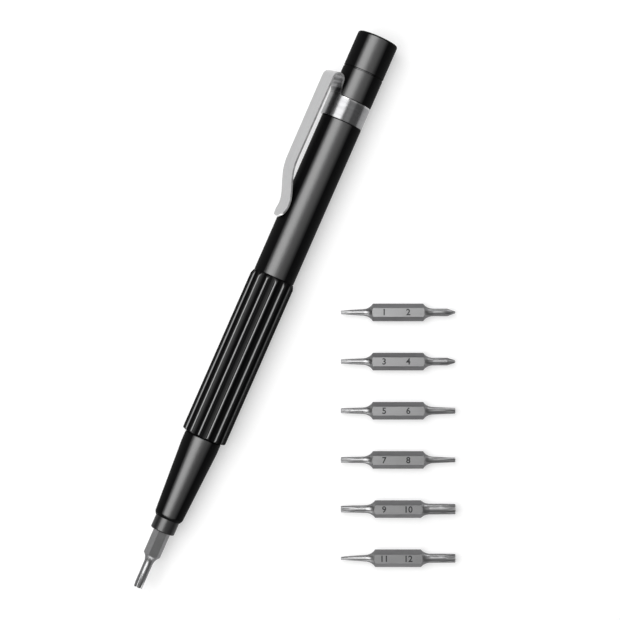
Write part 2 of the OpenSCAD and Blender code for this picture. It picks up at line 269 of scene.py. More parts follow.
def finish_mesh(made: BMesh, name: str) -> Object:
    """Lays a mesh of the pen in its place and makes it a smooth-shaded object.

    Args:
        made: The finished mesh in the pen's own millimetres, which is freed.
        name: Name of the piece.

    Returns:
        The new object, linked to the scene.
    """
    bmesh.ops.transform(made, matrix=PEN.place(), verts=made.verts[:])
    data = mesh_data(made, name)
    data.shade_smooth()
    data.set_sharp_from_angle(angle=SHARP_ANGLE)
    piece = link_object(name, data)
    piece.modifiers.new("even_normals", "WEIGHTED_NORMAL").keep_sharp = True
    return piece


# Finishes


class NodeSheet:
    """A node tree with short calls to add and join its nodes."""

    def __init__(self, tree: NodeTree) -> None:
        """Takes the tree that the calls work on."""
        self.tree = tree

    def add(self, kind: str, inputs: dict | None = None, **settings: object) -> Node:
        """Adds a node.

        Args:
            kind: The node's type name.
            inputs: Values or source sockets for its inputs, by name or index.
            **settings: Attributes of the node.

        Returns:
            The new node.
        """
        node = self.tree.nodes.new(kind)
        for key, value in settings.items():
            setattr(node, key, value)
        for key, value in (inputs or {}).items():
            self.feed(node.inputs[key], value)
        return node

    def feed(self, socket: Socket, value: object) -> None:
        """Feeds an input.

        Args:
            socket: The input.
            value: A source socket to link to it, or the input's own value.
        """
        if isinstance(value, Socket):
            self.tree.links.new(value, socket)
        else:
            socket.default_value = value

    def math(self, operation: str, first: object, second: object) -> Socket:
        """The result of a math node with two inputs."""
        return self.add("ShaderNodeMath", {0: first, 1: second}, operation=operation).outputs[0]

    def span(self, value: object, low: float, high: float, to_low: float, to_high: float) -> Socket:
        """A value mapped from one clamped range to another."""
        ends = {"From Min": low, "From Max": high, "To Min": to_low, "To Max": to_high}
        return self.add("ShaderNodeMapRange", {"Value": value, **ends}).outputs["Result"]

    def blend(self, share: object, first: object, second: object) -> Socket:
        """A colour between two colours, by the Mix node's colour sockets."""
        inputs = {0: share, 6: first, 7: second}
        return self.add("ShaderNodeMix", inputs, data_type="RGBA").outputs[2]

    def noise(self, vector: object, scale: object, **more: float) -> Socket:
        """The value of a noise texture, with more of its inputs by name."""
        inputs = {"Vector": vector, "Scale": scale, **more}
        return self.add("ShaderNodeTexNoise", inputs).outputs[0]

    def group(self, tree: NodeTree, *inputs: object) -> bpy_prop_collection:
        """The outputs of a shared effect, given its inputs in order."""
        return self.add("ShaderNodeGroup", dict(enumerate(inputs)), node_tree=tree).outputs

    def to_mm(self, coords: Socket, turn: float = 0.0) -> Socket:
        """Coordinates in millimetres, turned round Z."""
        inputs = {"Vector": coords, "Rotation": (0.0, 0.0, turn), "Scale": TO_MM}
        return self.add("ShaderNodeMapping", inputs).outputs[0]

    def pen_radius(self, in_mm: Socket) -> Socket:
        """The distance from the pen's axis in millimetres."""
        flat = self.add("ShaderNodeVectorMath", {0: in_mm, 1: NOT_ALONG}, operation="MULTIPLY")
        return self.add("ShaderNodeVectorMath", {0: flat.outputs[0]}, operation="LENGTH").outputs[1]


class EffectGroups:
    """The shader node groups that the finishes share."""

    broad_share: float = 0.22
    edge_span: Pair = (0.62, 0.66)
    least_rub: float = 0.5

    def __init__(self) -> None:
        """Builds each group once."""
        self.lines = self._build_lines()
        self.speckle = self._build_speckle()
        self.rub_and_highlight = self._build_rub_and_highlight()

    @staticmethod
    def _start(name: str, values: list[str], outputs: list[str]) -> tuple[NodeSheet, dict, dict]:
        """Starts a group that takes a vector and some values.

        Args:
            name: Name of the group.
            values: Names of its value inputs.
            outputs: Names of its value outputs.

        Returns:
            The group's sheet, its inputs' sockets by name, and its outputs' by name.
        """
        tree = bpy.data.node_groups.new(name, "ShaderNodeTree")
        kinds = {"Vector": "NodeSocketVector", **{label: "NodeSocketFloat" for label in values}}
        for label, kind in kinds.items():
            tree.interface.new_socket(label, in_out="INPUT", socket_type=kind)
        for label in outputs:
            tree.interface.new_socket(label, in_out="OUTPUT", socket_type="NodeSocketFloat")
        sheet = NodeSheet(tree)
        source = sheet.add("NodeGroupInput").outputs
        target = sheet.add("NodeGroupOutput").inputs
        return sheet, {key: source[key] for key in kinds}, {key: target[key] for key in outputs}

    def _build_lines(self) -> NodeTree:
        """Builds fine lines that run along the X of the vector given, in millimetres.

        Returns:
            The group.
        """
        sheet, given, target = self._start(
            "fine_lines", ["Stretch", "Lines per mm"], ["Height", "Streak"],
        )
        parts = sheet.add("ShaderNodeSeparateXYZ", {0: given["Vector"]}).outputs
        along = sheet.math("DIVIDE", parts[0], given["Stretch"])
        squeeze = {0: along, 1: parts[1], 2: parts[2]}
        squeezed = sheet.add("ShaderNodeCombineXYZ", squeeze).outputs[0]
        fine = sheet.noise(squeezed, given["Lines per mm"], Detail=4.0, Roughness=0.65)
        broad_scale = sheet.math("MULTIPLY", given["Lines per mm"], self.broad_share)
        sheet.feed(target["Height"], fine)
        sheet.feed(target["Streak"], sheet.noise(squeezed, broad_scale, Detail=2.0))
        return sheet.tree

    def _build_speckle(self) -> NodeTree:
        """Builds the etched grain of a satin surface, and slow patches of handling.

        Returns:
            The group.
        """
        sheet, given, target = self._start(
            "satin_speckle", ["Grains per mm", "Patches per mm"], ["Height", "Patch"],
        )
        grain = sheet.noise(given["Vector"], given["Grains per mm"], Detail=3.0, Roughness=0.6)
        patch = sheet.noise(given["Vector"], given["Patches per mm"], Detail=3.0, Distortion=0.6)
        sheet.feed(target["Height"], grain)
        sheet.feed(target["Patch"], sheet.span(patch, *NOISE_SPAN, 0.0, 1.0))
        return sheet.tree

    def _build_rub_and_highlight(self) -> NodeTree:
        """Builds a broken mask along outer edges, where a finish rubs thin and where the clip's
        near-white colour paints highlights along its edges.

        Returns:
            The group.
        """
        sheet, given, target = self._start("edge_rub_and_highlight", ["Breaks per mm", "Reach"], ["Mask"])
        pointed = sheet.add("ShaderNodeNewGeometry").outputs["Pointiness"]
        limit = sheet.math("SUBTRACT", self.edge_span[0], given["Reach"])
        edge = sheet.span(pointed, limit, self.edge_span[1], 0.0, 1.0)
        broken = sheet.noise(given["Vector"], given["Breaks per mm"], Detail=4.0)
        patches = sheet.span(broken, *NOISE_SPAN, self.least_rub, 1.0)
        sheet.feed(target["Mask"], sheet.math("MULTIPLY", edge, patches))
        return sheet.tree


@dataclass(frozen=True)
class Finish:
    """A surface finish: its colours, its gloss and the fine marks of how it was made.

    Roughness is a middle and a spread. The glossy top layer has a weight at its front and one
    at its rims, between two values of Layer Weight's Facing. Depths are in millimetres.
    """

    name: str
    colour: Colour
    roughness: Pair
    metallic: float = 0.0
    grain: Grain = Grain.NONE
    lines_per_mm: float = 6.0
    line_stretch: float = 40.0
    line_depth: float = 0.0
    grains_per_mm: float = 9.0
    grain_depth: float = 0.0
    patches_per_mm: float = 0.12
    streak_share: float = 0.12
    # Colour of the rubbed edges; on the clip it is near-white and paints highlights along the edges
    # as well as wear
    rub_and_highlight_colour: Colour | None = None
    rub_and_highlight_reach: float = 0.0
    breaks_per_mm: float = 0.7
    specular: float = 0.5
    flute_span: Pair | None = None
    flute_share: float = 1.0
    coat: Pair | None = None
    coat_span: Pair = (0.08, 0.25)
    coat_ior: float = 1.9
    gloss_spread: float = 0.16

    def line_vector(self, sheet: NodeSheet, coords: Socket) -> Socket:
        """The coordinates of the fine lines, in millimetres.

        Args:
            sheet: The material's sheet.
            coords: The object's coordinates.

        Returns:
            A vector whose X runs along the lines.
        """
        turns = {Grain.ALONG_PEN: -90.0, Grain.ALONG_BIT: -LEVEL_TURN}
        in_mm = sheet.to_mm(coords, math.radians(turns.get(self.grain, 0.0)))
        if self.grain is not Grain.ROUND_PEN:
            return in_mm
        parts = sheet.add("ShaderNodeSeparateXYZ", {0: in_mm}).outputs
        angle = sheet.math("ARCTAN2", parts[0], parts[2])
        rings = {0: angle, 1: parts[1], 2: sheet.pen_radius(in_mm)}
        return sheet.add("ShaderNodeCombineXYZ", rings).outputs[0]

    def coat_weight(self, sheet: NodeSheet, in_mm: Socket, grain: Socket) -> Socket:
        """The weight of the glossy top layer, from its front to its rims and less in the flutes.

        Args:
            sheet: The material's sheet.
            in_mm: The coordinates in millimetres.
            grain: The height of the etched grain, which breaks up the gloss.

        Returns:
            The weight.
        """
        facing = sheet.add("ShaderNodeLayerWeight", {"Blend": 0.5}).outputs["Facing"]
        weight = sheet.span(facing, *self.coat_span, *self.coat)
        if self.flute_span is not None:
            radius = sheet.pen_radius(in_mm)
            crest = sheet.span(radius, *self.flute_span, self.flute_share, 1.0)
            weight = sheet.math("MULTIPLY", weight, crest)
        gloss = sheet.span(grain, *GRAIN_SPAN, 1.0 - self.gloss_spread, 1.0)
        return sheet.math("MULTIPLY", weight, gloss)

    def build(self, groups: EffectGroups) -> Material:
        """Builds the finish as a material.

        Args:
            groups: The shared effects.

        Returns:
            The new material.
        """
        material = bpy.data.materials.new(self.name)
        material.use_nodes = True
        sheet = NodeSheet(material.node_tree)
        shader = material.node_tree.nodes["Principled BSDF"].inputs
        coords = sheet.add("ShaderNodeTexCoord").outputs["Object"]
        in_mm = sheet.to_mm(coords)
        middle, spread = self.roughness
        speckle = sheet.group(groups.speckle, in_mm, self.grains_per_mm, self.patches_per_mm)
        rough = sheet.span(speckle["Patch"], 0.0, 1.0, middle - spread, middle + spread)
        height = sheet.math("MULTIPLY", speckle["Height"], self.grain_depth)
        streak = speckle["Patch"]
        if self.grain is not Grain.NONE:
            along = self.line_vector(sheet, coords)
            lines = sheet.group(groups.lines, along, self.line_stretch, self.lines_per_mm)
            depth = sheet.math("MULTIPLY", lines["Height"], self.line_depth)
            height = sheet.math("ADD", height, depth)
            streak = sheet.span(lines["Streak"], *NOISE_SPAN, 0.0, 1.0)
        dimmed = tuple(c * (1.0 - self.streak_share) for c in self.colour)
        base = sheet.blend(streak, (*dimmed, 1.0), (*self.colour, 1.0))
        # Rubbed edges: real wear, and on the clip a near-white colour that paints highlights along
        # the edges
        if self.rub_and_highlight_colour is not None:
            rub_and_highlight = sheet.group(groups.rub_and_highlight, in_mm, self.breaks_per_mm, self.rub_and_highlight_reach)
            base = sheet.blend(rub_and_highlight["Mask"], base, (*self.rub_and_highlight_colour, 1.0))
        bump = sheet.add("ShaderNodeBump", {"Height": height, "Strength": 1.0, "Distance": MM})
        inputs = {"Base Color": base, "Roughness": rough, "Normal": bump.outputs["Normal"]}
        inputs |= {"Metallic": self.metallic, "Specular IOR Level": self.specular}
        if self.coat is not None:
            weight = self.coat_weight(sheet, in_mm, speckle["Height"])
            inputs |= {"Coat Weight": weight, "Coat IOR": self.coat_ior, "Coat Roughness": middle}
        for label, value in inputs.items():
            sheet.feed(shader[label], value)
        return material


class Finishes:
    """Every finish of the object, as built materials."""

    chart: dict[Slot, Finish] = {
        Slot.BLACK: Finish(
            "anodised_black", (0.0036, 0.0036, 0.0038), roughness=(0.40, 0.02),
            grain=Grain.ROUND_PEN, lines_per_mm=5.0, line_depth=0.0010, grains_per_mm=7.0,
            grain_depth=0.0018, specular=0.008, coat=(1.0, 0.03), coat_ior=2.1,
            coat_span=(0.07, 0.17),
        ),
        Slot.GRIP: Finish(
            "anodised_grip", (0.0036, 0.0036, 0.0038), roughness=(0.30, 0.02),
            grain=Grain.ALONG_PEN, lines_per_mm=5.0, line_depth=0.0012, grains_per_mm=7.0,
            grain_depth=0.0020, specular=0.008, coat=(1.0, 0.08), coat_ior=2.3,
            coat_span=(0.06, 0.2), flute_span=(5.55, 5.88), flute_share=0.04,
        ),
        Slot.HOLDER: Finish(
            "oxide_black", (0.010, 0.010, 0.0105), roughness=(0.36, 0.04),
            grain=Grain.ROUND_PEN, lines_per_mm=7.0, line_depth=0.0012, grain_depth=0.0012,
            specular=0.1, coat=(0.9, 0.12),
        ),
        # The clip's near-white rubbed edges paint highlights along its edges
        Slot.CLIP: Finish(
            "satin_steel", (0.30, 0.30, 0.305), roughness=(0.31, 0.02), metallic=0.9,
            grain=Grain.ALONG_PEN, lines_per_mm=9.0, line_stretch=60.0, line_depth=0.0014,
            grain_depth=0.0006, streak_share=0.10, rub_and_highlight_colour=(0.90, 0.90, 0.90),
            rub_and_highlight_reach=0.08, coat=(0.0, 1.0), coat_ior=2.8, coat_span=(0.25, 0.5),
        ),
        Slot.BIT: Finish(
            "tool_steel", (0.125, 0.125, 0.129), roughness=(0.34, 0.05), metallic=1.0,
            grain=Grain.ALONG_BIT, lines_per_mm=8.0, line_stretch=35.0, line_depth=0.0022,
            grain_depth=0.0012, streak_share=0.14, patches_per_mm=0.3, coat=(1.0, 0.05),
            coat_ior=3.0, coat_span=(0.25, 0.48),
        ),
        Slot.MAGNET: Finish(
            "nickel", (0.66, 0.64, 0.60), roughness=(0.18, 0.05), metallic=1.0, grain_depth=0.0008,
        ),
        Slot.PLUG: Finish(
            "turned_steel", (0.50, 0.50, 0.51), roughness=(0.30, 0.06), metallic=1.0,
            grain=Grain.ROUND_PEN, lines_per_mm=7.0, line_depth=0.003,
        ),
        Slot.PAD: Finish(
            "rubber", (0.035, 0.035, 0.036), roughness=(0.75, 0.08), grain_depth=0.01,
        ),
        Slot.BUSH: Finish(
            "brass", (0.66, 0.46, 0.18), roughness=(0.28, 0.06), metallic=1.0,
            grain=Grain.ROUND_PEN, lines_per_mm=7.0, line_depth=0.003,
        ),
        Slot.WASHER: Finish(
            "acetal", (0.72, 0.72, 0.70), roughness=(0.45, 0.05), grain_depth=0.003,
        ),
    }

    def __init__(self) -> None:
        """Builds the shared groups and the materials."""
        groups = EffectGroups()
        self.by_slot = {slot: finish.build(groups) for slot, finish in self.chart.items()}
        self.mark = Finish(
            "mark_dark", (0.035, 0.035, 0.037), roughness=(0.62, 0.08), grain_depth=0.004,
            specular=0.3,
        ).build(groups)
        self.clip_root = Finish(
            "polished_steel", (0.26, 0.26, 0.265), roughness=(0.25, 0.015), metallic=1.0,
            grain=Grain.ROUND_PEN, lines_per_mm=6.0, line_stretch=6.0, line_depth=0.0004,
            grain_depth=0.0003, rub_and_highlight_colour=(0.45, 0.45, 0.45), rub_and_highlight_reach=0.02,
        ).build(groups)
        # The riser and crown: the strong streaks across them paint reflection streaks as well as
        # the bend's grain, and the near-white rubbed edges paint a highlight round the crown
        self.clip_bend_painted_streaks = Finish(
            "bent_steel_painted_streaks", (0.26, 0.26, 0.265), roughness=(0.28, 0.02), metallic=1.0,
            grain=Grain.ROUND_PEN, lines_per_mm=5.0, line_stretch=8.0, line_depth=0.0012,
            grain_depth=0.0003, streak_share=0.75, rub_and_highlight_colour=(0.90, 0.90, 0.90), rub_and_highlight_reach=0.10,
        ).build(groups)


@dataclass
class Assembly:
    """A sub-assembly, built with the object's finishes."""

    finishes: Finishes

    def build(self) -> Pieces:
        """Makes the assembly's pieces."""
        raise NotImplementedError

    def settle(self, made: BMesh, name: str, body: Body, slot: Slot, *nodes: str) -> Object:
        """Makes a dressed piece and puts it on its body in place of CAD nodes.

        Args:
            made: The finished mesh in the pen's own millimetres, which is freed.
            name: Name of the piece.
            body: The body it rides on.
            slot: Its material slot.
            *nodes: The CAD nodes that it stands for.

        Returns:
            The piece.
        """
        piece = finish_mesh(made, name)
        piece.data.materials.append(self.finishes.by_slot[slot])
        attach(piece, body.value)
        if nodes:
            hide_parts(*nodes)
        return piece


# The pen's turned pieces


@dataclass
class TurnedPiece:
    """A piece turned on a lathe: a closed outline, spun once round the axis.

    A corner is a radius, a place along the pen and the rounding of its edge, in millimetres.
    """

    name: str
    node: str
    body: Body
    corners: list[Point]
    steps: int = 144
    round_segments: int = 4

    def mesh(self) -> BMesh:
        """Spins the outline and rounds its edges.

        Returns:
            The closed mesh.
        """
        made = bmesh.new()
        outline = closed_loop(made, [(radius, 0.0, along) for radius, along, _ in self.corners])
        bmesh.ops.spin(
            made, geom=outline, cent=(0, 0, 0), axis=(0, 0, 1), dvec=(0, 0, 0),
            angle=math.tau, steps=self.steps, use_merge=True,
        )
        close_up(made)
        for radius in sorted({corner[2] for corner in self.corners if corner[2] > 0.0}):
            round_edges(made, self.rim_edges(made, radius), radius, self.round_segments)
        return made

    def rim_edges(self, made: BMesh, rounding: float) -> list[BMEdge]:
        """The edges round the corners that have a given rounding."""
        rims = [(radius, along) for radius, along, size in self.corners if size == rounding]
        return [edge for edge in made.edges if any(self.on_rim(edge, rim) for rim in rims)]

    @staticmethod
    def on_rim(edge: BMEdge, rim: Pair) -> bool:
        """Whether both ends of an edge lie on a rim of that radius and place."""
        ends = [(math.hypot(vert.co.x, vert.co.y), vert.co.z) for vert in edge.verts]
        return all(abs(a - b) < MERGE_DIST for end in ends for a, b in zip(end, rim))


@dataclass
class TurnedBody(Assembly):
    """The barrel, the nose, the tail and the spin cap."""

    broad_round: float = 0.28
    fine_round: float = 0.05
    nose_front_r: float = 3.85
    nose_front_rounds: Pair = (0.12, 0.25)
    nose_back_r: float = 4.97
    nose_back_round: float = 0.65
    nose_land_y: float = 39.9
    nose_chamfer: Pair = (0.4, 0.8)
    seat_gap: float = 0.03
    lip_r: float = 5.2
    lip_bore_r: float = 4.45
    cap_round: float = 0.6
    cap_bore_r: float = 0.95
    cap_bore_top_y: float = 150.91
    thread_depth: float = 0.3
    thread_start: float = 0.5
    thread_end: float = 5.7
    thread_pitch: float = 0.75
    thread_crest: Pair = (0.58, 0.42)
    thread_sunk: float = 0.03
    thread_steps: int = 60

    def pieces(self) -> Iterator[TurnedPiece]:
        """The turned pieces.

        Yields:
            Each piece, from the nose to the cap.
        """
        soft = PEN.edge_break
        broad = self.broad_round
        fine = self.fine_round
        chamfer_r, chamfer_len = self.nose_chamfer
        tip_round, front_round = self.nose_front_rounds
        tube_y = PEN.grip_y + self.seat_gap
        mouth_y = PEN.neck_y - PEN.fit
        lip_y = PEN.cap_y - PEN.fit
        mouth_r = PEN.neck_r + PEN.fit
        root_r = PEN.neck_r - self.thread_depth
        bush_bore_r = PEN.bush_r + PEN.fit
        spigot_r = PEN.store_r - PEN.fit
        holder_bore_r = PEN.holder_r + PEN.fit
        holder_bore_y = PEN.holder_top_y + PEN.fit
        yield TurnedPiece("nose_shell", "nose_cone", Body.HANDLE, [
            (holder_bore_r, PEN.nose_y, fine),
            (self.nose_front_r - chamfer_r, PEN.nose_y, tip_round),
            (self.nose_front_r, PEN.nose_y + chamfer_len, front_round),
            (self.nose_back_r, self.nose_land_y, 0.0),
            (self.nose_back_r, PEN.grip_y, self.nose_back_round),
            (spigot_r, PEN.grip_y, 0.0),
            (spigot_r, PEN.store_y, soft),
            (0.0, PEN.store_y, 0.0),
            (0.0, holder_bore_y, 0.0),
            (holder_bore_r, holder_bore_y, 0.0),
        ])
        yield TurnedPiece("barrel_tube", "barrel", Body.HANDLE, [
            (PEN.store_r, tube_y, fine),
            (PEN.core_r, tube_y, fine),
            (PEN.core_r, PEN.barrel_y, 0.0),
            (PEN.barrel_r, PEN.barrel_y, broad),
            (PEN.barrel_r, PEN.band_y, broad),
            (mouth_r, PEN.band_y, fine),
            (mouth_r, mouth_y, 0.0),
            (PEN.store_r, mouth_y, 0.0),
        ])
        yield TurnedPiece("tail_shell", "tail_sleeve", Body.TAIL, [
            (PEN.store_r, PEN.neck_y, fine),
            (root_r, PEN.neck_y, fine),
            (root_r, PEN.neck_y + self.thread_end, 0.0),
            (PEN.neck_r, PEN.neck_y + self.thread_end + self.thread_depth, 0.0),
            (PEN.neck_r, PEN.tail_y, 0.0),
            (PEN.barrel_r, PEN.tail_y, broad),
            (PEN.barrel_r, PEN.tail_top_y, soft),
            (self.lip_r, PEN.tail_top_y, 0.0),
            (self.lip_r, lip_y, 0.0),
            (self.lip_bore_r, lip_y, 0.0),
            (self.lip_bore_r, PEN.tail_top_y, 0.0),
            (bush_bore_r, PEN.tail_top_y, fine),
            (bush_bore_r, PEN.wall_y, 0.0),
            (PEN.store_r, PEN.wall_y, 0.0),
        ])
        yield TurnedPiece("cap_shell", "spin_cap", Body.CAP, [
            (self.cap_bore_r, PEN.cap_y, fine),
            (PEN.barrel_r, PEN.cap_y, soft),
            (PEN.barrel_r, PEN.cap_top_y, self.cap_round),
            (0.0, PEN.cap_top_y, 0.0),
            (0.0, self.cap_bore_top_y, 0.0),
            (self.cap_bore_r, self.cap_bore_top_y, 0.0),
        ], round_segments=6)

    def build(self) -> Pieces:
        """Makes the turned pieces and the tail's thread.

        Returns:
            The pieces from the nose to the cap, then the thread.
        """
        made = [
            self.settle(piece.mesh(), piece.name, piece.body, Slot.BLACK, piece.node)
            for piece in self.pieces()
        ]
        return [*made, self.settle(self.thread(), "tail_thread", Body.TAIL, Slot.BLACK)]

    def thread(self) -> BMesh:
        """Winds the right-hand thread round the tail's neck.

        Returns:
            The closed mesh.
        """
        pitch = self.thread_pitch
        sunk_r = PEN.neck_r - self.thread_depth - self.thread_sunk
        start = PEN.neck_y + self.thread_start
        turns = (self.thread_end - self.thread_start - pitch) / pitch
        steps = round(turns * self.thread_steps)
        flank = [(sunk_r, 0.0), (sunk_r, pitch)]
        flank += [(PEN.neck_r, pitch * share) for share in self.thread_crest]
        made = bmesh.new()
        outline = closed_loop(made, [(radius, 0.0, start + along) for radius, along in flank])
        bmesh.ops.spin(
            made, geom=outline, cent=(0, 0, 0), axis=(0, 0, 1),
            dvec=(0, 0, turns * pitch / steps), angle=math.tau * turns, steps=steps,
            use_merge=False,
        )
        ends = [edge for edge in made.edges if edge.is_boundary]
        bmesh.ops.holes_fill(made, edges=ends, sides=0)
        face_out(made)
        return made


# The ribbed grip


@dataclass
class GripSleeve(Assembly):
    """The sleeve with lengthwise ribs that the fingers hold.

    The chamfer's bends are shares of its length, from its top, and of its depth.
    """

    length: float = 45.3
    crest_top_r: float = 6.0
    flute_depth: float = 0.55
    crest_r: float = 0.5
    ribs: int = 14
    flank_angle: float = 76.0
    arc_steps: int = 6
    hollow_rise: float = 0.16
    hollow_steps: int = 4
    end_round: float = 0.5
    end_chamfer: Pair = (0.5, 1.2)
    chamfer_bends: tuple[Pair, ...] = ((1.0, 0.0), (0.55, 0.4), (0.08, 0.88), (0.0, 1.0))
    round_steps: int = 6

    def rib_outline(self) -> list[Pair]:
        """One rib from the middle of a flute to the middle of the next, pointing along X.

        Returns:
            Radii and turns.
        """
        crest_x = self.crest_top_r - self.crest_r
        floor_r = self.crest_top_r - self.flute_depth
        flank = math.radians(self.flank_angle)
        half_pitch = math.pi / self.ribs
        root_y = (self.crest_r + (crest_x - floor_r) * math.cos(flank)) / math.sin(flank)
        root_turn = math.asin(root_y / floor_r)
        crest = []
        for step in range(-self.arc_steps, self.arc_steps + 1):
            turn = flank * step / self.arc_steps
            x = crest_x + self.crest_r * math.cos(turn)
            y = self.crest_r * math.sin(turn)
            crest.append((math.hypot(x, y), math.atan2(y, x)))
        hollow = []
        for step in range(self.hollow_steps + 1):
            share = step / self.hollow_steps
            radius = floor_r + self.hollow_rise * (1 - share) ** 2
            hollow.append((radius, mix(root_turn, half_pitch, share)))
        return [(radius, -turn) for radius, turn in reversed(hollow)] + crest + hollow

    def stations(self, upward: bool) -> list[Pair]:
        """Places along the pen and the widest radius there, from the straight part to one end.

        Args:
            upward: Toward the barrel, where the ribs are chamfered, or toward the nose, where
                they are rounded.

        Returns:
            Pairs of place and radius.
        """
        if upward:
            depth, run = self.end_chamfer
            top = PEN.grip_y + self.length
            bends = self.chamfer_bends
            return [(top - run * far, self.crest_top_r - depth * deep) for far, deep in bends]
        found = []
        for step in range(self.round_steps + 1):
            turn = math.pi / 2 * step / self.round_steps
            inset = self.end_round * (1 - math.cos(turn))
            drop = self.end_round * (1 - math.sin(turn))
            found.append((PEN.grip_y + drop, self.crest_top_r - inset))
        return found

    @staticmethod
    def move_ring(verts: list[BMVert], along: float, limit: float) -> None:
        """Moves a ring along the pen and trims it.

        Args:
            verts: The ring's vertices.
            along: Its new place along the pen.
            limit: The widest radius.
        """
        for vert in verts:
            share = min(1.0, limit / math.hypot(vert.co.x, vert.co.y))
            vert.co = (vert.co.x * share, vert.co.y * share, along)

    def mesh(self) -> BMesh:
        """Draws the ribs' outline, extrudes it both ways and closes it with its bore.

        Returns:
            The closed mesh.
        """
        made = bmesh.new()
        middle = PEN.grip_y + self.length / 2
        roll = math.pi + math.radians(PEN.clip_lean) + math.pi / self.ribs
        chain = [
            made.verts.new((radius * math.cos(turn + roll), radius * math.sin(turn + roll), middle))
            for radius, turn in self.rib_outline()
        ]
        edges = [made.edges.new(pair) for pair in zip(chain, chain[1:])]
        bmesh.ops.spin(
            made, geom=chain + edges, cent=(0, 0, 0), axis=(0, 0, 1), dvec=(0, 0, 0),
            angle=math.tau * (self.ribs - 1) / self.ribs, steps=self.ribs - 1, use_duplicate=True,
        )
        bmesh.ops.remove_doubles(made, verts=made.verts[:], dist=MERGE_DIST)
        outline = made.edges[:]
        bore_rims = []
        for upward in (True, False):
            rim = outline
            for along, limit in [*self.stations(upward), (None, PEN.core_r + PEN.fit)]:
                rim, ring = extrude_rim(made, rim)
                self.move_ring(ring, ring[0].co.z if along is None else along, limit)
            bore_rims.extend(rim)
        bmesh.ops.bridge_loops(made, edges=bore_rims)
        close_up(made)
        return made

    def build(self) -> Pieces:
        """Makes the sleeve."""
        return [self.settle(self.mesh(), "grip_ribs", Body.HANDLE, Slot.GRIP, "grip_sleeve")]


# The pocket clip


